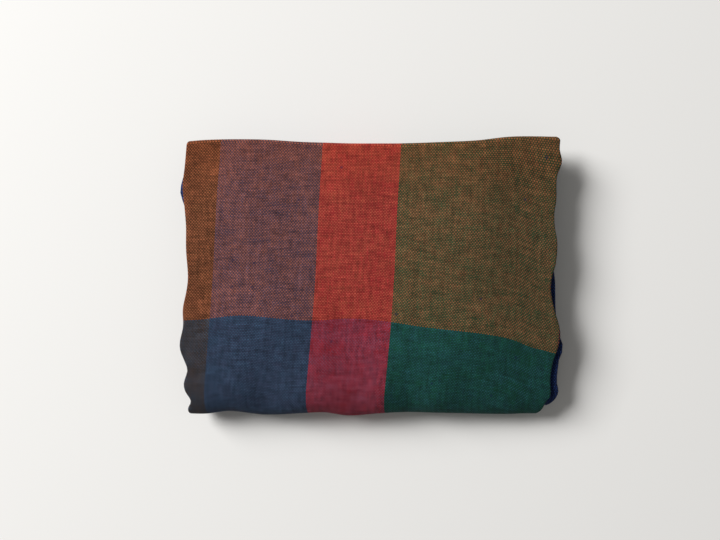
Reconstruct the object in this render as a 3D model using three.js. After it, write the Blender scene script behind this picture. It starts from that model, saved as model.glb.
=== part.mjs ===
// Plaid linen cloth, folded and laid flat. The cloth is first folded in three across, like a
// letter, which gives a strip of three plies. The strip is pleated in four and the pleats are
// folded in half round the front edge, so it lies in eight layers with one wide bend outside.
// Millimetres, +Z up, +X to the right, +Y to the back. The origin is on the surface that the
// cloth rests on, under the middle of the folded cloth.

import * as THREE from 'three';
import { mergeVertices } from 'three/addons/utils/BufferGeometryUtils.js';

// Driving dimensions
const PLIES = 3; // plies in the strip, from the letter fold
const PLY = 0.9; // one ply of soft linen with the air beside it
const GAP = 0.8; // air between two layers of the strip
const STRIP = PLIES * PLY;
const PITCH = STRIP + GAP;
const BACK_EDGE = 83.3; // from the middle to the fold at the back of the top layer
const FRONT_EDGE = -86.05; // from the middle to the outermost point of the wide front bend
const TOP_FOLD = BACK_EDGE - (PITCH + STRIP) / 2; // centre of the bend between the two top layers
const TIGHT = PITCH / 2; // the tightest bend of the strip's middle

// The layers in the order in which the strip passes through them, 1 the lowest. Two that follow
// one another are joined by a bend, in turn at the front and at the back.
const ORDER = [1, 8, 7, 2, 3, 6, 5, 4];

// Each layer: where its flat run ends at the back and at the front, how far its front bend
// reaches on, where its left and right side folds lie, and how its run is divided.
const LAYERS = {
  1: { back: 79.65, front: -65.2, depth: 19.5, left: -109.4, right: 107.7, steps: 7 },
  2: { back: 77.65, front: -66.2, depth: 13.2, left: -110.0, right: 107.1, steps: 6 },
  3: { back: 77.65, front: -68.2, depth: 8.0, left: -108.4, right: 108.5, steps: 6 },
  4: { back: 75.65, front: -70.7, depth: TIGHT, left: -109.6, right: 106.5, steps: 6 },
  5: { back: 79.05, front: -70.7, depth: TIGHT, left: -108.2, right: 107.9, steps: 6 },
  6: { back: 79.05, front: -68.2, depth: 8.0, left: -109.2, right: 106.3, steps: 6 },
  7: { back: TOP_FOLD, front: -66.2, depth: 13.2, left: -111.0, right: 111.0, steps: 20 },
  8: { back: TOP_FOLD, front: -65.2, depth: 19.5, left: -113.5, right: 111.0, steps: 20 },
};

// Side folds of the top layer and of the front bend that it runs into
const TOP_LEFT = [
  { y: -86.5, x: -117.0 },
  { y: -82, x: -114.8 },
  { y: -76.5, x: -111.0 },
  { y: -70, x: -113.9 },
  { y: -65, x: -114.4 },
  { y: -57, x: -112.1 },
  { y: -52, x: -113.5 },
  { y: -45, x: -116.2 },
  { y: -40, x: -116.5 },
  { y: -30, x: -114.5 },
  { y: -20, x: -114.7 },
  { y: -8, x: -112.4 },
  { y: 0, x: -111.7 },
  { y: 16, x: -112.9 },
  { y: 30, x: -113.0 },
  { y: 41, x: -113.9 },
  { y: 55, x: -115.2 },
  { y: 66, x: -114.3 },
  { y: 81, x: -113.2 },
];
const TOP_RIGHT = [
  { y: -86.5, x: 99.5 },
  { y: -83, x: 104.9 },
  { y: -77, x: 107.0 },
  { y: -74, x: 109.3 },
  { y: -63, x: 108.5 },
  { y: -52, x: 109.9 },
  { y: -44, x: 112.7 },
  { y: -37, x: 114.1 },
  { y: -31, x: 113.6 },
  { y: -20, x: 110.4 },
  { y: -8, x: 108.3 },
  { y: 0, x: 109.3 },
  { y: 8, x: 111.6 },
  { y: 20, x: 112.4 },
  { y: 31, x: 110.8 },
  { y: 39, x: 110.7 },
  { y: 46, x: 111.9 },
  { y: 60, x: 112.5 },
  { y: 68, x: 115.7 },
  { y: 75, x: 114.3 },
  { y: 81, x: 114.9 },
];

// Side folds of the layer under it, which stands out past the top one in three places
const SECOND_LEFT = [
  { y: -81, x: -111.0 },
  { y: 35, x: -111.2 },
  { y: 41, x: -114.0 },
  { y: 49, x: -116.7 },
  { y: 53, x: -117.4 },
  { y: 59, x: -115.9 },
  { y: 67, x: -114.4 },
  { y: 74, x: -112.0 },
  { y: 81, x: -111.5 },
];
const SECOND_RIGHT = [
  { y: -84, x: 108.3 },
  { y: -80, x: 111.4 },
  { y: -76, x: 114.4 },
  { y: -71, x: 115.2 },
  { y: -65, x: 113.6 },
  { y: -58, x: 114.1 },
  { y: -51, x: 114.8 },
  { y: -44, x: 117.3 },
  { y: -37, x: 115.0 },
  { y: -22, x: 112.6 },
  { y: -2, x: 112.2 },
  { y: 10, x: 110.4 },
  { y: 38, x: 109.8 },
  { y: 53, x: 109.4 },
  { y: 64, x: 110.2 },
  { y: 81, x: 112.0 },
];
const SIDE_FOLDS = {
  7: { left: SECOND_LEFT, right: SECOND_RIGHT },
  8: { left: TOP_LEFT, right: TOP_RIGHT },
};

// The side folds of the other layers wander about their places, and the lowest is drawn in where
// its right corner joins the wide front bend
const WANDER = [
  { reach: 1.1, length: 17, turn: 1 },
  { reach: 0.6, length: 7.5, turn: -2 },
];
const RIGHT_TURN = 2.5; // how much further the right side's wander has turned than the left's
const LOWEST_CORNER = { from: -68, to: -87, depth: 5 };

// How far the back and the front stand off a straight line along the width, and by what share of
// the height the front edge dips
const OUTLINE = [
  { x: -114, back: -0.8, front: 0.7, dip: 0.03 },
  { x: -103, back: 0.1, front: 0.6, dip: 0.03 },
  { x: -88, back: 0.4, front: 2.3, dip: 0.03 },
  { x: -66, back: 0.0, front: -0.2, dip: 0.07 },
  { x: -44, back: -1.4, front: 1.0, dip: 0.0 },
  { x: -30, back: -1.9, front: 1.6, dip: 0.04 },
  { x: -14, back: -2.4, front: -0.6, dip: 0.08 },
  { x: 4, back: -2.4, front: 0.8, dip: 0.01 },
  { x: 18, back: -2.3, front: 1.4, dip: 0.03 },
  { x: 38, back: -1.6, front: 1.2, dip: 0.0 },
  { x: 64, back: -0.3, front: 0.4, dip: 0.04 },
  { x: 83, back: 2.2, front: 0.1, dip: 0.06 },
  { x: 97, back: 2.9, front: 0.3, dip: 0.07 },
  { x: 114, back: 3.0, front: -0.2, dip: 0.07 },
];
const OUTLINE_FADE = 40; // the outline's waves reach this far in from the front and the back
const DIP_START = -40; // the front's dips begin here

// The top is highest left of the middle and gives way towards the sides, most at the right
const CROWN = 1.03; // height over the bare stack at the highest part
const SAGS = [
  { axis: 'x', from: -55, to: -116, depth: 0.08 },
  { axis: 'x', from: 10, to: 116, depth: 0.15 },
  { axis: 'y', from: 48, to: 84, depth: 0.05 },
  { axis: 'y', from: -20, to: -84, depth: 0.05 },
];
const SWELLS = [
  { x: -66, y: -20, radius: 26, height: 0.035 },
  { x: 60, y: 30, radius: 34, height: 0.02 },
  { x: 4, y: -44, radius: 22, height: -0.015 },
];

// Divisions of the mesh
const WIDTH_STEPS = 16;
const EDGE_STEPS = 4;
const WRAP_STEP = 3.2; // longest step round a front bend
const BACK_BEND_STEPS = 6;

const smooth = (t) => {
  const c = THREE.MathUtils.clamp(t, 0, 1);
  return c * c * (3 - 2 * c);
};

// A column of a table at a place, on a smooth curve through its rows that is level past its ends
function lookUp(table, key, place, column) {
  const next = table.findIndex((row) => row[key] > place);
  if (next === 0) return table[0][column];
  if (next === -1) return table[table.length - 1][column];
  const [start, end] = [table[next - 1], table[next]];
  const before = table[next - 2] ?? start;
  const after = table[next + 1] ?? end;
  const width = end[key] - start[key];
  const leave = (width * (end[column] - before[column])) / (end[key] - before[key]);
  const enter = (width * (after[column] - start[column])) / (after[key] - start[key]);
  const t = (place - start[key]) / width;
  const rest = 1 - t;
  const bow = leave * t * rest * rest - enter * t * t * rest;
  return start[column] * rest * rest * (1 + 2 * t) + end[column] * t * t * (3 - 2 * t) + bow;
}

// Left and right side folds of a layer at a place along its run
function sides(layer, y) {
  const folds = SIDE_FOLDS[layer];
  if (folds) return { left: lookUp(folds.left, 'y', y, 'x'), right: lookUp(folds.right, 'y', y, 'x') };
  const { left, right } = LAYERS[layer];
  const wander = (start) =>
    WANDER.reduce((sum, { reach, length, turn }) => sum + reach * Math.sin(y / length + turn * start), 0);
  const { from, to, depth } = LOWEST_CORNER;
  const corner = layer === 1 ? depth * smooth((y - from) / (to - from)) : 0;
  return { left: left + wander(layer), right: right - corner + wander(layer + RIGHT_TURN) };
}

const heightOf = (layer) => STRIP / 2 + (layer - 1) * PITCH;

// Places along a curve in the YZ plane, each with its tangent and its share of the way
function placesOn(curve, steps) {
  return Array.from({ length: steps + 1 }, (_, i) => {
    const share = i / steps;
    return { point: curve.getPoint(share), tangent: curve.getTangent(share), share };
  });
}

// The bend that joins two layers, half an ellipse that leaves the first and enters the second
function bendBetween(from, to, atFront) {
  const [a, b] = [LAYERS[from], LAYERS[to]];
  const middle = (heightOf(from) + heightOf(to)) / 2;
  const halfHeight = Math.abs(heightOf(from) - heightOf(to)) / 2;
  const rising = to > from;
  const start = rising ? -Math.PI / 2 : Math.PI / 2;
  if (!atFront) {
    const round = new THREE.EllipseCurve(a.back, middle, TIGHT, halfHeight, start, -start, !rising);
    return placesOn(round, BACK_BEND_STEPS);
  }
  const wrap = new THREE.EllipseCurve(b.front, middle, b.depth, halfHeight, start, -start, rising);
  return placesOn(wrap, 2 * Math.ceil(wrap.getLength() / WRAP_STEP / 2 + 1));
}

// The middle of the strip, from its lower free end to its inner one
function strip() {
  const stations = [];
  const add = (place, from, to) => {
    const [one, other] = [sides(from, place.point.x), sides(to, place.point.x)];
    const share = from === to ? 0 : smooth(place.share);
    stations.push({
      y: place.point.x,
      z: place.point.y,
      normal: new THREE.Vector2(-place.tangent.y, place.tangent.x),
      left: THREE.MathUtils.lerp(one.left, other.left, share),
      right: THREE.MathUtils.lerp(one.right, other.right, share),
    });
  };
  ORDER.forEach((layer, i) => {
    const forward = i % 2 === 0;
    const { back, front, steps } = LAYERS[layer];
    const [start, end] = forward ? [back, front] : [front, back];
    const height = heightOf(layer);
    const run = new THREE.LineCurve(new THREE.Vector2(start, height), new THREE.Vector2(end, height));
    placesOn(run, steps).forEach((place) => add(place, layer, layer));
    const next = ORDER[i + 1];
    if (!next) return;
    const bend = bendBetween(layer, next, forward).slice(1, -1);
    bend.forEach((place) => add(place, layer, next));
  });
  return stations;
}

// The strip's own section: flat above and below, with a round fold at either side. Each point
// lies a share of the way across between the centres of the side folds, and then off it.
function section() {
  const radius = STRIP / 2;
  const points = [];
  for (let i = WIDTH_STEPS; i >= 0; i -= 1) points.push({ share: i / WIDTH_STEPS, out: 0, up: radius });
  for (let i = 1; i < EDGE_STEPS; i += 1) {
    const angle = Math.PI / 2 + (i / EDGE_STEPS) * Math.PI;
    points.push({ share: 0, out: radius * Math.cos(angle), up: radius * Math.sin(angle) });
  }
  const half = points.length;
  for (let i = 0; i < half; i += 1) {
    const { share, out, up } = points[i];
    points.push({ share: 1 - share, out: -out, up: -up });
  }
  return points;
}

// The place of a point of the straight stack in the cloth as it lies, its underside kept flat
function settle(x, y, z) {
  const nearBack = smooth((y - BACK_EDGE + OUTLINE_FADE) / OUTLINE_FADE);
  const nearFront = smooth((FRONT_EDGE + OUTLINE_FADE - y) / OUTLINE_FADE);
  const back = lookUp(OUTLINE, 'x', x, 'back') * nearBack;
  const front = lookUp(OUTLINE, 'x', x, 'front') * nearFront;
  const at = { x, y };
  const inDip = smooth((y - DIP_START) / (FRONT_EDGE - DIP_START));
  let height = CROWN - lookUp(OUTLINE, 'x', x, 'dip') * inDip;
  SAGS.forEach(({ axis, from, to, depth }) => {
    height -= depth * smooth((at[axis] - from) / (to - from));
  });
  SWELLS.forEach((swell) => {
    const away = Math.hypot(x - swell.x, y - swell.y) / swell.radius;
    height += swell.height * Math.exp(-away * away);
  });
  return new THREE.Vector3(x, y + back + front, z * height);
}

// The section carried along the strip: a grid with a row for each station and a column for each
// point of the section, closed round the section, and closed flat over the two free ends
function foldedCloth() {
  const stations = strip();
  const points = section();
  const rows = [stations[0], ...stations, stations[stations.length - 1]];
  const grid = new THREE.PlaneGeometry(1, 1, points.length, rows.length - 1);
  const position = grid.getAttribute('position');
  rows.forEach(({ y, z, normal, left, right }, row) => {
    const flat = row === 0 || row === rows.length - 1;
    for (let column = 0; column <= points.length; column += 1) {
      const { share, out, up } = points[column % points.length];
      const x = THREE.MathUtils.lerp(left + STRIP / 2, right - STRIP / 2, share) + out;
      const off = flat ? 0 : up;
      const place = settle(x, y + normal.x * off, z + normal.y * off);
      position.setXYZ(row * (points.length + 1) + column, place.x, place.y, place.z);
    }
  });
  grid.deleteAttribute('normal');
  grid.deleteAttribute('uv');
  const cloth = mergeVertices(grid);
  const corners = Array.from(cloth.index.array);
  const kept = [];
  for (let i = 0; i < corners.length; i += 3) {
    const [a, b, c] = corners.slice(i, i + 3);
    if (a !== b && b !== c && c !== a) kept.push(a, b, c);
  }
  cloth.setIndex(kept);
  cloth.computeVertexNormals();
  return cloth;
}

const linen = new THREE.MeshStandardMaterial({ color: 0x6e4236, roughness: 0.92, metalness: 0 });
const cloth = new THREE.Mesh(foldedCloth(), linen);
cloth.name = 'folded_linen';

const group = new THREE.Group();
group.add(cloth);

export default group;
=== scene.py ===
"""A plaid linen cloth, folded and laid flat on a pale floor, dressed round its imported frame.

The cloth is folded in three across, like a letter. That strip of three plies is pleated in four,
and the pleats are folded in half round the front edge, so the strip lies in eight layers.
It is one sheet: each of its points is known by its place in the flat cut and is carried from
there to its place in the folds. The sizes are in millimetres, and the meshes in metres.
"""

import logging
import math
from bisect import bisect_right
from dataclasses import dataclass, field
from enum import Enum

import bmesh
import bpy
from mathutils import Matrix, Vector


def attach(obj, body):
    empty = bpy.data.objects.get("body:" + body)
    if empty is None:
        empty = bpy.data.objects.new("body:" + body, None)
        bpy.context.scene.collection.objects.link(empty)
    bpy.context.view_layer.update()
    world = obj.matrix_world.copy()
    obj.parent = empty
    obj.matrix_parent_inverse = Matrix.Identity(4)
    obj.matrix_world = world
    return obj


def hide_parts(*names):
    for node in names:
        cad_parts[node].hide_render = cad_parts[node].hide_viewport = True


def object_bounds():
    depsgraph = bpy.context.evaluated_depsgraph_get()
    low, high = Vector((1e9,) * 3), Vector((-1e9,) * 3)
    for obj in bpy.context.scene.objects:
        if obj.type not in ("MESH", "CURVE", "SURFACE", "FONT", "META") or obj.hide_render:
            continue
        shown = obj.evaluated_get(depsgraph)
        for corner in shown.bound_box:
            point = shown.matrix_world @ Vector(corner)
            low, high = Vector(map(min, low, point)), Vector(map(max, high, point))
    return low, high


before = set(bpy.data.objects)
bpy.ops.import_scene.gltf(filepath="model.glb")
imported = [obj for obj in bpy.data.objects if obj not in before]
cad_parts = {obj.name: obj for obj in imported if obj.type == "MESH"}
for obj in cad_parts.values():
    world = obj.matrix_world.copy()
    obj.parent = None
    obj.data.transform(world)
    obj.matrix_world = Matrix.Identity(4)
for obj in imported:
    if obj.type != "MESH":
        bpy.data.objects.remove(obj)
CAD_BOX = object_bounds()

LOG = logging.getLogger("plaid_linen")
MM = 0.001
GRID_HALF = 0.5

Rows = tuple[tuple[float, float], ...]
Colour = tuple[float, float, float]
Socket = bpy.types.NodeSocket
Value = Socket | float
Tint = Socket | tuple[float, ...]


def smooth(share: float) -> float:
    """An eased step from 0 to 1.

    Args:
        share: how far along the step, held between 0 and 1.

    Returns:
        The eased share.
    """
    held = min(max(share, 0.0), 1.0)
    return held * held * (3 - 2 * held)


def blend(start: float, end: float, share: float) -> float:
    """The value a share of the way from start to end."""
    return start + (end - start) * share


def through(rows: Rows, place: float) -> float:
    """A smooth curve through a table's rows, held level past its ends.

    Args:
        rows: pairs of a place and the value there, the places rising.
        place: where the value is wanted.

    Returns:
        The value at that place.
    """
    places = [row[0] for row in rows]
    if place <= places[0]:
        return rows[0][1]
    if place >= places[-1]:
        return rows[-1][1]
    i = bisect_right(places, place) - 1
    before, after = rows[max(i - 1, 0)], rows[min(i + 2, len(rows) - 1)]
    (x0, y0), (x1, y1) = rows[i], rows[i + 1]
    width = x1 - x0
    leave = width * (y1 - before[1]) / (x1 - before[0])
    enter = width * (after[1] - y0) / (after[0] - x0)
    t = (place - x0) / width
    rest = 1 - t
    return (
        y0 * rest * rest * (1 + 2 * t)
        + leave * t * rest * rest
        + y1 * t * t * (3 - 2 * t)
        - enter * t * t * rest
    )


class Yarn(Enum):
    """The dyed yarns, as linear colours."""

    RUST = (0.175, 0.0520, 0.0243)
    TEAL_NAVY = (0.0111, 0.0352, 0.0620)
    BROWN = (0.083, 0.0385, 0.0130)
    SLATE = (0.052, 0.0575, 0.110)
    MADDER = (0.510, 0.0246, 0.038)
    GREEN = (0.0079, 0.0946, 0.0410)
    ROYAL = (0.012, 0.026, 0.100)
    NAVY = (0.004, 0.012, 0.040)
    # A thin near-black stripe at each side of the royal ones.
    NEAR_BLACK = (0.012, 0.022, 0.018)


@dataclass(frozen=True)
class Stripe:
    """One stripe of the sett: its yarn, and where it ends, in mm from the edge of the cut."""

    yarn: Yarn
    end: float


@dataclass(frozen=True)
class Sett:
    """The order of the stripes along the warp and along the weft."""

    warp: tuple[Stripe, ...] = (
        Stripe(Yarn.ROYAL, 30),
        Stripe(Yarn.SLATE, 60),
        Stripe(Yarn.MADDER, 108),
        Stripe(Yarn.GREEN, 166),
        Stripe(Yarn.BROWN, 226.4),
        Stripe(Yarn.SLATE, 287.7),
        Stripe(Yarn.MADDER, 335.4),
        Stripe(Yarn.GREEN, 438.4),
        Stripe(Yarn.NAVY, 525),
        Stripe(Yarn.MADDER, 573),
        Stripe(Yarn.SLATE, 612),
        Stripe(Yarn.ROYAL, 652),
    )
    weft: tuple[Stripe, ...] = (
        Stripe(Yarn.RUST, 106),
        Stripe(Yarn.TEAL_NAVY, 234.5),
        Stripe(Yarn.RUST, 350),
        Stripe(Yarn.NEAR_BLACK, 367),
        Stripe(Yarn.ROYAL, 512),
        Stripe(Yarn.NEAR_BLACK, 529),
        Stripe(Yarn.RUST, 645),
        Stripe(Yarn.TEAL_NAVY, 773),
        Stripe(Yarn.RUST, 889),
        Stripe(Yarn.NEAR_BLACK, 906),
        Stripe(Yarn.ROYAL, 1051),
        Stripe(Yarn.TEAL_NAVY, 1300),
    )


@dataclass(frozen=True)
class Layer:
    """One flat layer of the strip.

    The fields are where its run ends at the back and at the front, how far its front bend
    reaches on, the longest step of the mesh along it, and where its side folds lie, in mm. The
    top two layers have tables for their side folds instead.
    """

    back: float
    front: float
    depth: float
    step: float
    left: float = 0.0
    right: float = 0.0


@dataclass(frozen=True)
class Station:
    """A place along the middle of the strip, in the straight stack.

    The fields are its place and the way out of the strip in the YZ plane, the side folds there,
    the sideways place of the grain, how far left the cloth's own edge can lie, and the place
    along the cut, in mm.
    """

    y: float
    z: float
    out_y: float
    out_z: float
    left: float
    right: float
    grain: float
    tail: float
    along: float


@dataclass(frozen=True)
class Strip:
    """The three-ply strip, pleated in four and folded in half round the front.

    The order is that of the layers along the strip, 1 the lowest. The tables give the side
    folds, the grain and the cloth's own left edge of the top two layers, each row by its place
    towards the back, in mm. The hidden layers' side folds wander by waves of a reach, a length
    and a turn, and the lowest layer's right front corner is drawn in, from one place to another
    by a depth.
    """

    plies: int = 3
    ply_pitch: float = 0.9
    gap: float = 0.8
    order: tuple[int, ...] = (1, 8, 7, 2, 3, 6, 5, 4)
    lowest: int = 1
    second: int = 7
    top: int = 8
    layers: dict[int, Layer] = field(
        default_factory=lambda: {
            1: Layer(79.65, -65.2, 19.5, 7.0, -109.4, 107.7),
            2: Layer(77.65, -66.2, 13.2, 9.0, -110.0, 107.1),
            3: Layer(77.65, -68.2, 8.0, 9.0, -108.4, 108.5),
            4: Layer(75.65, -70.7, 1.75, 9.0, -109.6, 106.5),
            5: Layer(79.05, -70.7, 1.75, 9.0, -108.2, 107.9),
            6: Layer(79.05, -68.2, 8.0, 9.0, -109.2, 106.3),
            7: Layer(80.2, -66.2, 13.2, 5.0),
            8: Layer(80.2, -65.2, 19.5, 2.6),
        }
    )
    top_left: Rows = (
        (-86.5, -117.0), (-82, -114.8), (-76.5, -111.0), (-70, -113.9), (-65, -114.4),
        (-57, -112.1), (-52, -113.5), (-45, -116.2), (-40, -116.5), (-30, -114.5), (-20, -114.7),
        (-8, -112.4), (0, -111.7), (16, -112.9), (30, -113.0), (41, -113.9), (55, -115.2),
        (66, -114.3), (81, -113.2),
    )
    top_right: Rows = (
        (-86.5, 99.7), (-83, 105.1), (-77, 107.3), (-74, 109.6), (-63, 108.9), (-52, 110.4),
        (-44, 113.2), (-37, 114.6), (-31, 114.1), (-20, 110.9), (-8, 108.8), (0, 109.8),
        (8, 112.1), (20, 113.0), (31, 111.4), (39, 111.3), (46, 112.5), (60, 113.1), (68, 116.3),
        (75, 115.0), (81, 115.6),
    )
    second_left: Rows = ((-80, -111.0), (35, -111.2), (53, -112.0), (81, -111.0))
    second_tail: Rows = (
        (-80, -110.0), (34, -110.2), (41, -114.0), (49, -116.7), (53, -117.4), (59, -115.9),
        (67, -114.4), (74, -111.6), (81, -110.5),
    )
    second_right: Rows = (
        (-84, 108.3), (-80, 111.4), (-76, 114.4), (-71, 115.2), (-65, 113.6), (-58, 114.1),
        (-51, 114.8), (-44, 117.3), (-37, 115.0), (-22, 112.6), (-2, 112.2), (10, 110.4),
        (38, 109.8), (53, 109.4), (64, 110.2), (81, 112.0),
    )
    top_grain: Rows = ((-85, -11.6), (-64, -9.4), (-28, -6.2), (0, -4.2), (40, -2.3), (80, 0))
    second_grain: Rows = (
        (-80, -9.6), (-2, -9.6), (14, -6.5), (35, -2.0), (45, 2.4), (53, 3.4), (64, 2.4), (81, 2.2),
    )
    tuck_in: float = 1.0
    wander: tuple[tuple[float, float, float], ...] = ((1.1, 17.0, 1.0), (0.6, 7.5, -2.0))
    right_turn: float = 2.5
    lowest_corner: tuple[float, float, float] = (-68, -87, 5)
    hidden_grain: float = -6.0
    wrap_step: float = 2.2
    back_bend_steps: int = 8

    @property
    def thickness(self) -> float:
        """How thick the strip is, its plies laid together."""
        return self.plies * self.ply_pitch

    @property
    def pitch(self) -> float:
        """The height from one layer to the next."""
        return self.thickness + self.gap

    def height(self, layer: int) -> float:
        """The height of a layer's middle in the straight stack."""
        return self.thickness / 2 + (layer - 1) * self.pitch

    def sides(self, layer: int, y: float) -> tuple[float, float, float, float]:
        """The side folds, the grain and the inner edge of a layer at a place along its run.

        Args:
            layer: the layer, 1 the lowest.
            y: the place, in mm from the middle towards the back.

        Returns:
            The left fold, the right fold, the sideways place of the grain, and how far left the
            cloth's own edge can lie.
        """
        if layer == self.top:
            left = through(self.top_left, y)
            right = through(self.top_right, y)
            return left, right, through(self.top_grain, y), left + self.tuck_in
        if layer == self.second:
            left = through(self.second_left, y)
            right = through(self.second_right, y)
            return left, right, through(self.second_grain, y), through(self.second_tail, y)
        wander = [
            sum(reach * math.sin(y / length + turn * start) for reach, length, turn in self.wander)
            for start in (layer, layer + self.right_turn)
        ]
        start, end, depth = self.lowest_corner
        corner = depth * smooth((y - start) / (end - start)) if layer == self.lowest else 0.0
        sizes = self.layers[layer]
        left = sizes.left + wander[0]
        return left, sizes.right - corner + wander[1], self.hidden_grain, left + self.tuck_in

    def run(self, layer: int, forward: bool) -> list[tuple[float, ...]]:
        """The places along a layer's flat run.

        Args:
            layer: the layer.
            forward: whether the strip runs from the back to the front there.

        Returns:
            For each place its y and z, its tangent, and its share of the way.
        """
        sizes = self.layers[layer]
        start, end = (sizes.back, sizes.front) if forward else (sizes.front, sizes.back)
        steps = math.ceil(abs(end - start) / sizes.step)
        towards = -1.0 if forward else 1.0
        height = self.height(layer)
        return [(blend(start, end, i / steps), height, towards, 0.0, 0.0) for i in range(steps + 1)]

    def bend(self, start: int, end: int, at_front: bool) -> list[tuple[float, ...]]:
        """The places round the bend that joins two layers, half an ellipse.

        Args:
            start: the layer that it leaves.
            end: the layer that it enters.
            at_front: whether the bend is at the front.

        Returns:
            For each place its y and z, its tangent, and its share of the way.
        """
        middle = (self.height(start) + self.height(end)) / 2
        half_height = abs(self.height(start) - self.height(end)) / 2
        rise = 1.0 if end > start else -1.0
        sizes = self.layers[end]
        centre = sizes.front if at_front else self.layers[start].back
        reach = -sizes.depth if at_front else self.pitch / 2
        girth = math.pi * (abs(reach) + half_height) / 2
        steps = 2 * math.ceil(girth / self.wrap_step / 2 + 1) if at_front else self.back_bend_steps
        places = []
        for i in range(1, steps):
            angle = math.pi * (i / steps - 0.5)
            slope = (-reach * math.sin(angle), rise * half_height * math.cos(angle))
            length = math.hypot(*slope)
            places.append((
                centre + reach * math.cos(angle),
                middle + rise * half_height * math.sin(angle),
                slope[0] / length,
                slope[1] / length,
                i / steps,
            ))
        return places

    def stations(self) -> list[Station]:
        """All stations, from the lower free end of the strip to its inner one.

        Returns:
            The stations in order.
        """
        found: list[Station] = []

        def add(place: tuple[float, ...], start: int, end: int) -> None:
            """Adds the station at a place on the way from one layer to another.

            Args:
                place: its y and z, its tangent, and its share of the way.
                start: the layer that the strip leaves.
                end: the layer that it enters.
            """
            y, z, towards_y, towards_z, share = place
            one, other = self.sides(start, y), self.sides(end, y)
            eased = smooth(share)
            left, right, grain, tail = (blend(a, b, eased) for a, b in zip(one, other))
            last = found[-1] if found else None
            along = last.along + math.hypot(y - last.y, z - last.z) if last else 0.0
            found.append(Station(y, z, -towards_z, towards_y, left, right, grain, tail, along))

        for i, layer in enumerate(self.order):
            forward = i % 2 == 0
            for place in self.run(layer, forward):
                add(place, layer, layer)
            if i + 1 < len(self.order):
                for place in self.bend(layer, self.order[i + 1], forward):
                    add(place, layer, self.order[i + 1])
        return found


class Ply(Enum):
    """The parts of the letter fold across the strip, from the cloth's one edge to the other."""

    TUCKED = "tucked"
    LEFT_FOLD = "left fold"
    OUTER = "outer"
    RIGHT_FOLD = "right fold"
    LAST = "last"


@dataclass(frozen=True)
class LetterFold:
    """The fold across the strip: an outer ply, a ply tucked in under it and a last one below.

    The sizes are in mm: the cut's width, the place across it of the thread that lies at the
    strip's grain, how far the tucked ply's edge stays from the right fold, the thickness of the
    cloth, and the height from ply to ply. The steps are the mesh's, across each part.
    """

    width: float = 652.0
    grain_start: float = 318.2
    held_back: float = 1.2
    cloth: float = 0.5
    pitch: float = 0.9
    steps: dict[Ply, int] = field(
        default_factory=lambda: {
            Ply.TUCKED: 24,
            Ply.LEFT_FOLD: 8,
            Ply.OUTER: 86,
            Ply.RIGHT_FOLD: 10,
            Ply.LAST: 26,
        }
    )

    def columns(self) -> list[tuple[Ply, float]]:
        """The columns of the mesh.

        Returns:
            For each column its ply and its share of the way along that ply.
        """
        found = [(Ply.TUCKED, 0.0)]
        for ply, steps in self.steps.items():
            found.extend((ply, (i + 1) / steps) for i in range(steps))
        return found

    def place(self, station: Station, ply: Ply, share: float) -> tuple[float, float, float]:
        """Where a column crosses a station.

        Args:
            station: the place along the strip.
            ply: the part of the letter fold.
            share: how far along that part.

        Returns:
            The sideways place, how far out of the strip's middle it lies, and its place
            across the flat cut, in mm.
        """
        small, large = self.pitch / 2, self.pitch
        left = station.left + self.cloth / 2 + small
        right = station.right - self.cloth / 2 - large
        to_left = left - station.grain + self.grain_start
        to_right = right - station.grain + self.grain_start
        tucked = to_left - math.pi * small
        last = to_right + math.pi * large
        if ply is Ply.TUCKED:
            reach = min(tucked, right - self.held_back - left)
            return left + reach * (1 - share), 0.0, tucked * share
        if ply is Ply.LEFT_FOLD:
            angle = math.pi * share
            across = tucked + angle * small
            return left - small * math.sin(angle), small * (1 - math.cos(angle)), across
        if ply is Ply.OUTER:
            return blend(left, right, share), self.pitch, blend(to_left, to_right, share)
        if ply is Ply.RIGHT_FOLD:
            angle = math.pi * share
            across = to_right + angle * large
            return right + large * math.sin(angle), large * math.cos(angle), across
        reach = min(self.width - last, right - station.tail)
        return right - reach * share, -self.pitch, blend(last, self.width, share)


class Way(Enum):
    """The ways that a slope runs over the cloth, each the axis of a place."""

    ACROSS = 0
    TO_BACK = 1


@dataclass(frozen=True)
class Sag:
    """A slope one way, from one place to another, by a share of the height."""

    way: Way
    start: float
    end: float
    depth: float


@dataclass(frozen=True)
class Swell:
    """A soft rise or hollow round a place, its height a share of the stack's."""

    x: float
    y: float
    radius: float
    height: float


@dataclass(frozen=True)
class Crease:
    """A soft trough or ridge along a line, its height in mm at the top of the stack."""

    start: tuple[float, float]
    end: tuple[float, float]
    width: float
    height: float


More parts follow.
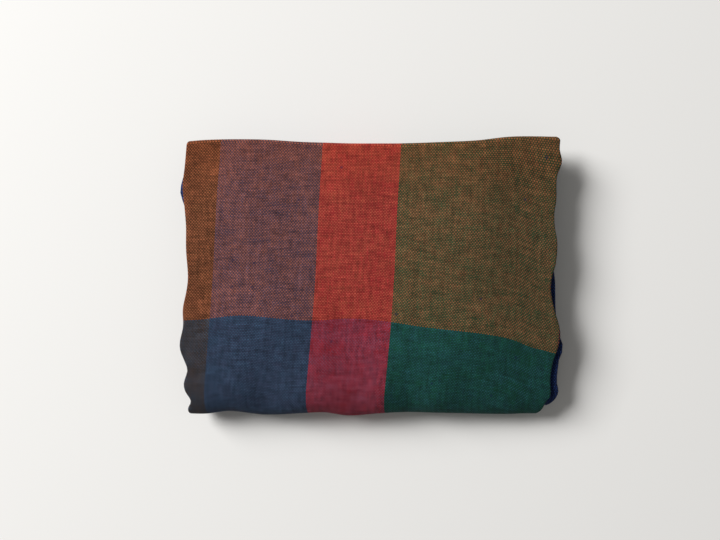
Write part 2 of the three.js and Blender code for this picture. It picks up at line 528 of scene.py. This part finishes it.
@dataclass(frozen=True)
class Settling:
    """How the straight stack gives way as it lies, its underside kept flat.

    The tables go by the place across, in mm: how far the back and front edges of the outline
    move, in mm, and how far the front flutes dip, as a share of the height. `top` is the bare
    stack's height in mm, and `crown` the share of it that the cloth has where nothing lowers it.
    """

    top: float = 27.2
    crown: float = 1.03
    back_edge: float = 83.3
    front_edge: float = -86.05
    outline_fade: float = 40.0
    back: Rows = (
        (-114, -0.8), (-103, 0.1), (-88, 0.4), (-66, 0.0), (-44, -1.4), (-30, -1.9), (-14, -2.4),
        (4, -2.4), (18, -2.3), (38, -1.6), (64, -0.3), (83, 2.2), (97, 2.9), (114, 3.0),
    )
    front: Rows = (
        (-114, 0.7), (-103, 0.6), (-88, 2.3), (-66, -0.2), (-44, 1.0), (-30, 1.6), (-14, -0.6),
        (4, 0.8), (18, 1.4), (38, 1.2), (64, 0.4), (83, 0.1), (97, 0.3), (114, -0.2),
    )
    dip: Rows = (
        (-114, 0.06), (-100, 0.06), (-82, 0.08), (-65, 0.20), (-51, 0.11), (-39, 0.06), (-26, 0.07),
        (-9, 0.15), (3, 0.10), (15, 0.15), (25, 0.19), (37, 0.12), (46, 0.13), (58, 0.18),
        (72, 0.16), (84, 0.12), (97, 0.11), (114, 0.10),
    )
    dip_start: float = -42.0
    dip_end: float = -82.0
    sags: tuple[Sag, ...] = (
        Sag(Way.ACROSS, -55, -116, 0.08),
        Sag(Way.ACROSS, 10, 118, 0.06),
        Sag(Way.ACROSS, 62, 120, 0.20),
        Sag(Way.TO_BACK, 48, 84, 0.05),
        Sag(Way.TO_BACK, -20, -84, 0.05),
    )
    swells: tuple[Swell, ...] = (
        Swell(-60, -26, 25, 0.065),
        Swell(-31, -50, 14, 0.040),
        Swell(-11, -40, 14, -0.035),
        Swell(48, -40, 26, 0.060),
        Swell(56, 24, 28, 0.065),
        Swell(-15, 62, 20, 0.045),
        Swell(-84, 44, 18, 0.030),
        Swell(-100, 66, 14, -0.040),
        Swell(88, 52, 16, -0.035),
    )
    creases: tuple[Crease, ...] = (
        Crease((-19, -22), (-24, -60), 6.0, -0.45),
        Crease((52, 70), (110, 71), 9.0, 0.80),
        Crease((-100, 20), (-84, -12), 8.0, 0.40),
        Crease((8, 40), (14, -8), 9.0, -0.40),
        Crease((-52, 30), (-46, -4), 8.0, -0.40),
    )

    def lift(self, x: float, y: float) -> float:
        """The height at a place, as a share of the bare stack's.

        Args:
            x: the place across, in mm.
            y: the place towards the back, in mm.

        Returns:
            The share.
        """
        lift = self.crown
        at = (x, y)
        for sag in self.sags:
            lift -= sag.depth * smooth((at[sag.way.value] - sag.start) / (sag.end - sag.start))
        for swell in self.swells:
            away = math.hypot(x - swell.x, y - swell.y) / swell.radius
            lift += swell.height * math.exp(-away * away)
        for crease in self.creases:
            lift += crease.height / self.top * self.on_crease(crease, x, y)
        reach = smooth((y - self.dip_start) / (self.dip_end - self.dip_start))
        return lift - through(self.dip, x) * reach

    @staticmethod
    def on_crease(crease: Crease, x: float, y: float) -> float:
        """How fully a place lies on a crease.

        Args:
            crease: the crease.
            x: the place across, in mm.
            y: the place towards the back, in mm.

        Returns:
            The share, 1 on the crease's line and fading to 0 away from it.
        """
        start, end = Vector(crease.start), Vector(crease.end)
        line = end - start
        share = (Vector((x, y)) - start).dot(line) / line.length_squared
        held = min(max(share, 0.0), 1.0)
        away = (Vector((x, y)) - start - line * held).length / crease.width
        return math.exp(-away * away)

    def settle(self, x: float, y: float, z: float) -> Vector:
        """Moves a point of the straight stack to its place in the cloth as it lies.

        Args:
            x: its place across, in mm.
            y: its place towards the back, in mm.
            z: its height, in mm.

        Returns:
            The place, in mm.
        """
        near_back = smooth((y - self.back_edge + self.outline_fade) / self.outline_fade)
        near_front = smooth((self.front_edge + self.outline_fade - y) / self.outline_fade)
        shift = through(self.back, x) * near_back + through(self.front, x) * near_front
        return Vector((x, y + shift, z * self.lift(x, y)))


def make_object(name: str, mesh: bmesh.types.BMesh) -> bpy.types.Object:
    """Makes an object of a bmesh, in the scene, and frees the bmesh.

    Args:
        name: the object's name.
        mesh: the bmesh.

    Returns:
        The object.
    """
    data = bpy.data.meshes.new(name)
    mesh.to_mesh(data)
    mesh.free()
    made = bpy.data.objects.new(name, data)
    bpy.context.scene.collection.objects.link(made)
    return made


def opaque(colour: Colour) -> tuple[float, ...]:
    """A colour with full alpha, as a colour socket takes it."""
    return (*colour, 1.0)


@dataclass(frozen=True)
class Mottle:
    """A soft noise: its scale, how many finer layers it has, and how strong those are."""

    scale: float
    detail: float
    rough: float


@dataclass(frozen=True)
class Span:
    """A range and the range that it is laid on."""

    low: float
    high: float
    to_low: float
    to_high: float


class Graph:
    """Writes a material's nodes, each call adding one node and linking its inputs."""

    def __init__(self, material: bpy.types.Material) -> None:
        """Clears the material's own nodes.

        Args:
            material: the material to write.
        """
        material.use_nodes = True
        self.tree = material.node_tree
        self.tree.nodes.clear()

    def node(self, kind: str, **settings: object) -> bpy.types.Node:
        """Adds a node and sets its settings.

        Args:
            kind: the node's type.
            settings: values for the node's own settings.

        Returns:
            The node.
        """
        node = self.tree.nodes.new(kind)
        for name, value in settings.items():
            setattr(node, name, value)
        return node

    def put(self, socket: Socket, value: Value | Tint | None) -> None:
        """Links a socket to another node's, or sets its number or colour.

        Args:
            socket: the input socket.
            value: the other node's socket, the number or the colour. None leaves the socket.
        """
        if isinstance(value, Socket):
            self.tree.links.new(value, socket)
        elif value is not None:
            socket.default_value = value

    def math(
        self, operation: str, first: Value, second: Value | None = None, third: Value | None = None
    ) -> Socket:
        """The result of a Math node.

        Args:
            operation: the node's operation.
            first: a socket or a number.
            second: a socket or a number, where the operation has one.
            third: a socket or a number, where the operation has one.

        Returns:
            The output socket.
        """
        node = self.node("ShaderNodeMath", operation=operation)
        for socket, value in zip(node.inputs, (first, second, third)):
            self.put(socket, value)
        return node.outputs[0]

    def vector(self, x: Value, y: Value, z: Value = 0.0) -> Socket:
        """A vector from three sockets or numbers.

        Args:
            x: the first of them.
            y: the second.
            z: the third, such as a seed that sets one noise apart from another.

        Returns:
            The vector's socket.
        """
        node = self.node("ShaderNodeCombineXYZ")
        for socket, value in zip(node.inputs, (x, y, z)):
            self.put(socket, value)
        return node.outputs[0]

    def noise(self, vector: Socket, mottle: Mottle) -> Socket:
        """The value of a Noise texture.

        Args:
            vector: the place.
            mottle: the kind of noise.

        Returns:
            The value's socket, from about 0.2 to 0.8.
        """
        node = self.node("ShaderNodeTexNoise", noise_dimensions="3D")
        self.put(node.inputs["Vector"], vector)
        self.put(node.inputs["Scale"], mottle.scale)
        self.put(node.inputs["Detail"], mottle.detail)
        self.put(node.inputs["Roughness"], mottle.rough)
        return node.outputs["Fac"]

    def random(self, vector: Socket) -> Socket:
        """A random value for a vector.

        Args:
            vector: the vector.

        Returns:
            The value's socket, from 0 to 1.
        """
        node = self.node("ShaderNodeTexWhiteNoise", noise_dimensions="3D")
        self.put(node.inputs["Vector"], vector)
        return node.outputs["Value"]

    def fit(self, value: Value, span: Span) -> Socket:
        """A value's range laid on another range.

        Args:
            value: the value.
            span: the two ranges.

        Returns:
            The value's socket, held at the ends of the other range.
        """
        node = self.node("ShaderNodeMapRange", clamp=True)
        names = ("Value", "From Min", "From Max", "To Min", "To Max")
        for name, number in zip(names, (value, span.low, span.high, span.to_low, span.to_high)):
            self.put(node.inputs[name], number)
        return node.outputs[0]

    def mix(self, share: Value, first: Tint, second: Tint, how: str = "MIX") -> Socket:
        """A colour mixed from two.

        Args:
            share: how much of the second.
            first: a colour or its socket.
            second: a colour or its socket.
            how: the blend type.

        Returns:
            The output socket.
        """
        node = self.node("ShaderNodeMix", data_type="RGBA", blend_type=how)
        inputs = [socket for socket in node.inputs if socket.type == "RGBA"]
        self.put(node.inputs[0], share)
        self.put(inputs[0], first)
        self.put(inputs[1], second)
        return next(socket for socket in node.outputs if socket.type == "RGBA")

    def times(self, colour: Tint, value: Value) -> Socket:
        """A colour times a value.

        Args:
            colour: the colour.
            value: a socket or a number.

        Returns:
            The colour's socket.
        """
        grey = self.node("ShaderNodeCombineColor")
        for socket in grey.inputs:
            self.put(socket, value)
        return self.mix(1.0, colour, grey.outputs[0], "MULTIPLY")

    def stripes(self, place: Socket, stripes: tuple[Stripe, ...]) -> Socket:
        """The yarn's colour at a place along a sett.

        Args:
            place: the place in mm.
            stripes: the sett's stripes in order.

        Returns:
            The colour's socket.
        """
        colour: Tint = opaque(stripes[0].yarn.value)
        for before, stripe in zip(stripes, stripes[1:]):
            past = self.math("GREATER_THAN", place, before.end)
            colour = self.mix(past, colour, opaque(stripe.yarn.value))
        return colour

    def surface(self, colour: Tint, roughness: float, specular: float) -> bpy.types.Node:
        """Ends the material in one surface.

        Args:
            colour: its colour.
            roughness: how rough it is.
            specular: how strong its highlights are.

        Returns:
            The surface's node.
        """
        shader = self.node("ShaderNodeBsdfPrincipled")
        self.put(shader.inputs["Base Color"], colour)
        self.put(shader.inputs["Roughness"], roughness)
        self.put(shader.inputs["Specular IOR Level"], specular)
        output = self.node("ShaderNodeOutputMaterial")
        self.put(output.inputs["Surface"], shader.outputs[0])
        return shader


@dataclass(frozen=True)
class Yarns:
    """The sockets of the yarns that run one way.

    The fields are the place counted in yarns, the yarn's number, the place within it from -0.5
    to 0.5, its width, its tone, and the streaks that it lies in.
    """

    count: Socket
    number: Socket
    within: Socket
    width: Socket
    tone: Socket
    streak: Socket


@dataclass(frozen=True)
class WashedLinen:
    """The cloth's finish: a plain weave of uneven dyed yarns, soft and matt.

    Lengths are in mm. The weave leans to the warp or the weft in patches and in a slow drift,
    and to the weft round the back fold, where its colour is also warmer. Its colour holds painted
    shade in the hollows between the yarns and where the warp lies over, and painted light on the
    yarns' crowns and where the weft lies over.
    """

    sett: Sett = Sett()
    warp_pitch: float = 0.86
    weft_pitch: float = 0.98
    warp_seed: float = 0.0
    weft_seed: float = 40.0
    wobble: float = 0.30
    wobble_noise: Mottle = Mottle(0.28, 2.0, 0.5)
    wobble_seed: float = 9.0

    yarn_width: float = 0.47
    slubs: Span = Span(0.3, 0.7, -0.10, 0.10)
    own_tone: Span = Span(0.0, 1.0, 0.9, 1.1)
    own_tone_seed: float = 1.0
    slub_tone: Span = Span(0.3, 0.7, -0.14, 0.14)
    yarn_noise: Mottle = Mottle(1.0, 3.0, 0.6)
    yarn_apart: float = 3.7
    slub_stretch: float = 0.12
    streaks: Span = Span(0.25, 0.75, -0.3, 0.3)
    streak_across: float = 0.5
    streak_stretch: float = 0.11
    streak_seed: float = 5.0

    crimp: float = 0.5
    crossover: Span = Span(-0.35, 0.35, 0.0, 1.0)
    # Painted shade in the hollows between the yarns and painted light on their crowns, by the
    # yarns' height.
    painted_hollow_shade: Span = Span(0.25, 1.25, 0.45, 1.12)
    patches: Span = Span(1.1, 1.9, -0.7, 0.7)
    patch_noise: Mottle = Mottle(0.085, 3.0, 0.6)
    band_noise: Mottle = Mottle(0.45, 2.0, 0.6)
    band_stretch: float = 0.16
    warp_band_seed: float = 20.0
    weft_band_seed: float = 30.0
    drift: float = 0.21
    drift_across: float = 0.0105
    drift_along: float = -0.0084
    drift_start: float = -1.03
    back_fold: float = 348.0
    back_reach: Span = Span(0.0, 46.0, 1.0, 0.0)
    back_lean: float = -0.24
    back_tint: Colour = (1.0, 0.86, 0.73)

    fuzz: float = 0.18
    # Painted shading of the crossings: the warp-over ones darkened as if shaded, the weft-over ones
    # lightened as if lit.
    warp_over_painted_shade: float = 0.55
    weft_over_painted_light: float = 1.4
    nep_scale: float = 0.08
    nep_size: float = 0.9
    nep_share: float = 0.06
    nep_depth: float = 0.5
    sheen: float = 0.03
    sheen_roughness: float = 0.45
    roughness: float = 0.92
    specular: float = 0.12
    bump: float = 0.15
    bump_depth: float = 0.00012

    def material(self, cut_map: str) -> bpy.types.Material:
        """Writes the material.

        Args:
            cut_map: the name of the UV map that holds the flat cut's places, in metres.

        Returns:
            The material.
        """
        material = bpy.data.materials.new("washed_linen")
        graph = Graph(material)
        split = graph.node("ShaderNodeSeparateXYZ")
        graph.put(split.inputs[0], graph.node("ShaderNodeUVMap", uv_map=cut_map).outputs[0])
        across = graph.math("DIVIDE", split.outputs[0], MM)
        along = graph.math("DIVIDE", split.outputs[1], MM)
        place = graph.vector(across, along)

        sway = graph.noise(place, self.wobble_noise)
        swing = graph.noise(graph.vector(along, across, self.wobble_seed), self.wobble_noise)
        swayed = graph.math("ADD", across, graph.math("MULTIPLY", sway, self.wobble))
        swung = graph.math("ADD", along, graph.math("MULTIPLY", swing, self.wobble))
        ends = self.yarns(graph, swayed, along, self.warp_pitch, self.warp_seed)
        picks = self.yarns(graph, swung, across, self.weft_pitch, self.weft_seed)
        warp_height = self.crossing(graph, ends, picks, 0.0)
        weft_height = self.crossing(graph, picks, ends, math.pi)
        height = graph.math("MAXIMUM", warp_height, weft_height)

        away = graph.math("ABSOLUTE", graph.math("SUBTRACT", along, self.back_fold))
        at_back = graph.fit(away, self.back_reach)
        lean = graph.math("MULTIPLY_ADD", at_back, self.back_lean, self.lean(graph, across, along))
        over = graph.math("SUBTRACT", graph.math("ADD", warp_height, lean), weft_height)
        warp_over = graph.fit(over, self.crossover)

        warp = self.dyed(graph, self.sett.warp, ends, self.warp_pitch)
        weft = self.dyed(graph, self.sett.weft, picks, self.weft_pitch)
        # The crossings carry painted shade where the warp lies over and painted light where the
        # weft does.
        warp_colour = self.toned(graph, graph.mix(self.fuzz, warp, weft), ends, self.warp_over_painted_shade)
        weft_colour = self.toned(graph, graph.mix(self.fuzz, weft, warp), picks, self.weft_over_painted_light)
        colour = graph.mix(warp_over, weft_colour, warp_colour)
        # Painted shading: darker in the hollows between the yarns and lighter on their crowns,
        # times the streaks of thick and thin yarn.
        streaks = graph.math("ADD", graph.math("ADD", ends.streak, picks.streak), 1.0)
        painted_shading = graph.math("MULTIPLY", graph.fit(height, self.painted_hollow_shade), streaks)
        colour = graph.times(colour, painted_shading)
        tinted = graph.mix(1.0, colour, opaque(self.back_tint), "MULTIPLY")
        colour = graph.mix(at_back, colour, tinted)
        colour = self.nepped(graph, colour, place)

        bump = graph.node("ShaderNodeBump")
        graph.put(bump.inputs["Strength"], self.bump)
        graph.put(bump.inputs["Distance"], self.bump_depth)
        graph.put(bump.inputs["Height"], height)
        shader = graph.surface(colour, self.roughness, self.specular)
        graph.put(shader.inputs["Sheen Weight"], self.sheen)
        graph.put(shader.inputs["Sheen Roughness"], self.sheen_roughness)
        graph.put(shader.inputs["Normal"], bump.outputs[0])
        return material

    def yarns(self, graph: Graph, over: Socket, length: Socket, pitch: float, seed: float) -> Yarns:
        """The yarns that run one way.

        Args:
            graph: the material's graph.
            over: the place across these yarns, in mm.
            length: the place along them, in mm.
            pitch: the distance from yarn to yarn, in mm.
            seed: sets these yarns' random values apart.

        Returns:
            The yarns.
        """
        count = graph.math("DIVIDE", over, pitch)
        number = graph.math("FLOOR", count)
        own = graph.random(graph.vector(number, seed, self.own_tone_seed))
        spread = graph.math("MULTIPLY", number, self.yarn_apart)
        slub_place = graph.vector(spread, graph.math("MULTIPLY", length, self.slub_stretch), seed)
        slub = graph.noise(slub_place, self.yarn_noise)
        streak_place = graph.vector(
            graph.math("MULTIPLY", over, self.streak_across),
            graph.math("MULTIPLY", length, self.streak_stretch),
            seed + self.streak_seed,
        )
        streak = graph.noise(streak_place, self.yarn_noise)
        return Yarns(
            count=count,
            number=number,
            within=graph.math("SUBTRACT", graph.math("FRACT", count), 0.5),
            width=graph.math("ADD", self.yarn_width, graph.fit(slub, self.slubs)),
            tone=graph.math("ADD", graph.fit(own, self.own_tone), graph.fit(slub, self.slub_tone)),
            streak=graph.fit(streak, self.streaks),
        )

    def crossing(self, graph: Graph, yarns: Yarns, others: Yarns, turn: float) -> Socket:
        """The height of the yarns that run one way as they cross the others.

        Args:
            graph: the material's graph.
            yarns: these yarns.
            others: the yarns that they cross.
            turn: 0 for the warp and half a turn for the weft.

        Returns:
            The height, about -0.5 between yarns and 1.5 where one lies over.
        """
        share = graph.math("DIVIDE", yarns.within, yarns.width)
        round_top = graph.math("SUBTRACT", 1.0, graph.math("MULTIPLY", share, share))
        phase = graph.math("ADD", graph.math("SUBTRACT", others.count, 0.5), yarns.number)
        wave = graph.math("COSINE", graph.math("MULTIPLY_ADD", phase, math.pi, turn))
        return graph.math("MULTIPLY_ADD", wave, self.crimp, round_top)

    def lean(self, graph: Graph, across: Socket, along: Socket) -> Socket:
        """How far the weave leans to the warp, in patches, in bands and in a slow drift.

        Args:
            graph: the material's graph.
            across: the place across the cut, in mm.
            along: the place along it, in mm.

        Returns:
            The lean, below 0 where it is to the weft.
        """
        patches = graph.noise(graph.vector(across, along), self.patch_noise)
        short_along = graph.math("MULTIPLY", along, self.band_stretch)
        short_across = graph.math("MULTIPLY", across, self.band_stretch)
        for bands in (
            graph.vector(across, short_along, self.warp_band_seed),
            graph.vector(short_across, along, self.weft_band_seed),
        ):
            patches = graph.math("ADD", patches, graph.noise(bands, self.band_noise))
        phase = graph.math("MULTIPLY_ADD", across, self.drift_across, self.drift_start)
        phase = graph.math("MULTIPLY_ADD", along, self.drift_along, phase)
        drift = graph.math("MULTIPLY_ADD", graph.math("SINE", phase), self.drift, self.drift)
        return graph.math("ADD", graph.fit(patches, self.patches), drift)

    def dyed(
        self, graph: Graph, stripes: tuple[Stripe, ...], yarns: Yarns, pitch: float
    ) -> Socket:
        """The dye of the yarns that run one way, one colour to a yarn."""
        middle = graph.math("MULTIPLY", graph.math("ADD", yarns.number, 0.5), pitch)
        return graph.stripes(middle, stripes)

    def toned(self, graph: Graph, colour: Tint, yarns: Yarns, painted_shading: float) -> Socket:
        """A colour with the yarns' own uneven tone, times the painted shading of their crossings.
        """
        return graph.times(colour, graph.math("MULTIPLY", yarns.tone, painted_shading))

    def nepped(self, graph: Graph, colour: Tint, place: Socket) -> Socket:
        """Adds a few small dark neps, thick knots of fibre, to the colour.

        Args:
            graph: the material's graph.
            colour: the colour.
            place: the place on the cut, in mm.

        Returns:
            The colour's socket.
        """
        cells = graph.node("ShaderNodeTexVoronoi", voronoi_dimensions="2D", feature="F1")
        graph.put(cells.inputs["Vector"], place)
        graph.put(cells.inputs["Scale"], self.nep_scale)
        near = graph.math("LESS_THAN", cells.outputs["Distance"], self.nep_size * self.nep_scale)
        split = graph.node("ShaderNodeSeparateColor")
        graph.put(split.inputs[0], cells.outputs["Color"])
        chosen = graph.math("LESS_THAN", split.outputs[0], self.nep_share)
        depth = graph.math("MULTIPLY", graph.math("MULTIPLY", near, chosen), self.nep_depth)
        return graph.mix(depth, colour, opaque(Yarn.NAVY.value))


@dataclass
class PlaidCloth:
    """The whole cloth, one sheet in its folds.

    The weft bows away from the folds' lines by `bow`, by the place across the cut, times the
    share in `bowing`, by the place along it, in mm.
    """

    strip: Strip = field(default_factory=Strip)
    letter: LetterFold = field(default_factory=LetterFold)
    settling: Settling = field(default_factory=Settling)
    finish: WashedLinen = field(default_factory=WashedLinen)
    name: str = "plaid_linen"
    node: str = "folded_linen"
    cut_map: str = "cut"
    bow: Rows = (
        (190, 0.0), (205, -0.5), (214, -0.1), (221, 0.3), (236, 2.1), (245, 2.7), (254, 2.3),
        (272, 0.6), (281, 0.0), (293, -0.1), (308, 0.9), (323, 0.3), (341, -1.9), (353, -3.7),
        (372, -5.7), (390, -7.7), (408, -10.8), (422, -15.6), (430, -17.3), (440, -19), (520, 0),
    )
    bowing: Rows = (
        (90, 0.0), (160, 1.0), (255, 1.0), (290, 0.8), (320, 0.6), (345, 0.25), (400, 0.0),
    )

    def bowed(self, across: float, along: float) -> float:
        """The place along the cut by the weft, for a place by the folds, in mm."""
        return along - through(self.bow, across) * through(self.bowing, along)

    def build(self) -> bpy.types.Object:
        """Builds the sheet, from a flat grid to the folds.

        Returns:
            The cloth's object.
        """
        stations = self.strip.stations()
        columns = self.letter.columns()
        last_row, last_column = len(stations) - 1, len(columns) - 1
        mesh = bmesh.new()
        bmesh.ops.create_grid(mesh, x_segments=last_column, y_segments=last_row, size=GRID_HALF)
        flat = {}
        for vert in mesh.verts:
            station = stations[round((vert.co.y + GRID_HALF) * last_row)]
            ply, share = columns[round((vert.co.x + GRID_HALF) * last_column)]
            x, out, across = self.letter.place(station, ply, share)
            y, z = station.y + out * station.out_y, station.z + out * station.out_z
            flat[vert] = (across * MM, self.bowed(across, station.along) * MM)
            vert.co = self.settling.settle(x, y, z) * MM
        cut = mesh.loops.layers.uv.new(self.cut_map)
        for face in mesh.faces:
            face.smooth = True
            for loop in face.loops:
                loop[cut].uv = flat[loop.vert]
        cloth = make_object(self.name, mesh)
        thick = cloth.modifiers.new("cloth", "SOLIDIFY")
        thick.thickness = self.letter.cloth * MM
        thick.offset = 0.0
        cloth.data.materials.append(self.finish.material(self.cut_map))
        self.declare(cloth)
        return cloth

    def declare(self, cloth: bpy.types.Object) -> None:
        """Hangs the cloth on the frame's root body and hides the imported part that it stands in
        for.

        Args:
            cloth: the cloth's object.
        """
        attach(cloth, "root")
        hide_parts(self.node)


@dataclass
class Studio:
    """The pale floor, the soft light and the camera, in metres."""

    floor_size: float = 6.0
    floor_tone: Colour = (0.80, 0.79, 0.77)
    floor_roughness: float = 0.9
    floor_specular: float = 0.1
    window_place: tuple[float, float, float] = (-2.55, 1.45, 1.86)
    window_size: float = 1.6
    window_power: float = 200.0
    sky: float = 0.20
    sky_tone: Colour = (1.0, 0.99, 0.97)
    lens: float = 35.0
    sensor: float = 36.0
    camera_height: float = 0.448
    aim: tuple[float, float] = (-0.0077, 0.0036)
    tilt: float = math.radians(1.0)

    def floor(self) -> bpy.types.Object:
        """Lays the floor.

        Returns:
            The floor's object.
        """
        mesh = bmesh.new()
        bmesh.ops.create_grid(mesh, x_segments=1, y_segments=1, size=self.floor_size / 2)
        floor = make_object("floor", mesh)
        material = bpy.data.materials.new("pale_floor")
        Graph(material).surface(opaque(self.floor_tone), self.floor_roughness, self.floor_specular)
        floor.data.materials.append(material)
        return floor

    def light(self) -> bpy.types.Object:
        """Hangs the large soft window light and sets the even light of the room.

        Returns:
            The window light's object.
        """
        lamp = bpy.data.lights.new("window", "AREA")
        lamp.shape = "SQUARE"
        lamp.size = self.window_size
        lamp.energy = self.window_power
        window = bpy.data.objects.new("window", lamp)
        window.location = self.window_place
        towards = -Vector(self.window_place)
        window.rotation_euler = towards.to_track_quat("-Z", "Y").to_euler()
        bpy.context.scene.collection.objects.link(window)
        world = bpy.data.worlds.new("room")
        world.use_nodes = True
        sky = world.node_tree.nodes["Background"]
        sky.inputs["Color"].default_value = opaque(self.sky_tone)
        sky.inputs["Strength"].default_value = self.sky
        bpy.context.scene.world = world
        return window

    def camera(self) -> bpy.types.Object:
        """Sets the camera over the cloth, as in the photograph.

        Returns:
            The camera's object.
        """
        lens = bpy.data.cameras.new("camera")
        lens.lens = self.lens
        lens.sensor_width = self.sensor
        camera = bpy.data.objects.new("camera", lens)
        rise = self.camera_height - CAD_BOX[1][2]
        x, y = self.aim
        camera.location = (x, y - rise * math.tan(self.tilt), self.camera_height)
        camera.rotation_euler = (self.tilt, 0.0, 0.0)
        bpy.context.scene.collection.objects.link(camera)
        bpy.context.scene.camera = camera
        return camera


def main() -> None:
    """Builds the scene in order and reports each piece."""
    logging.basicConfig(level=logging.INFO, format="%(name)s: %(message)s")
    bpy.context.scene.view_settings.view_transform = "Standard"
    studio = Studio()
    for thing in (studio.camera(), studio.light(), studio.floor()):
        LOG.info("%s is set", thing.name)
    cloth = PlaidCloth().build()
    LOG.info("%s has %d faces", cloth.name, len(cloth.data.polygons))


if __name__ == "__main__":
    main()
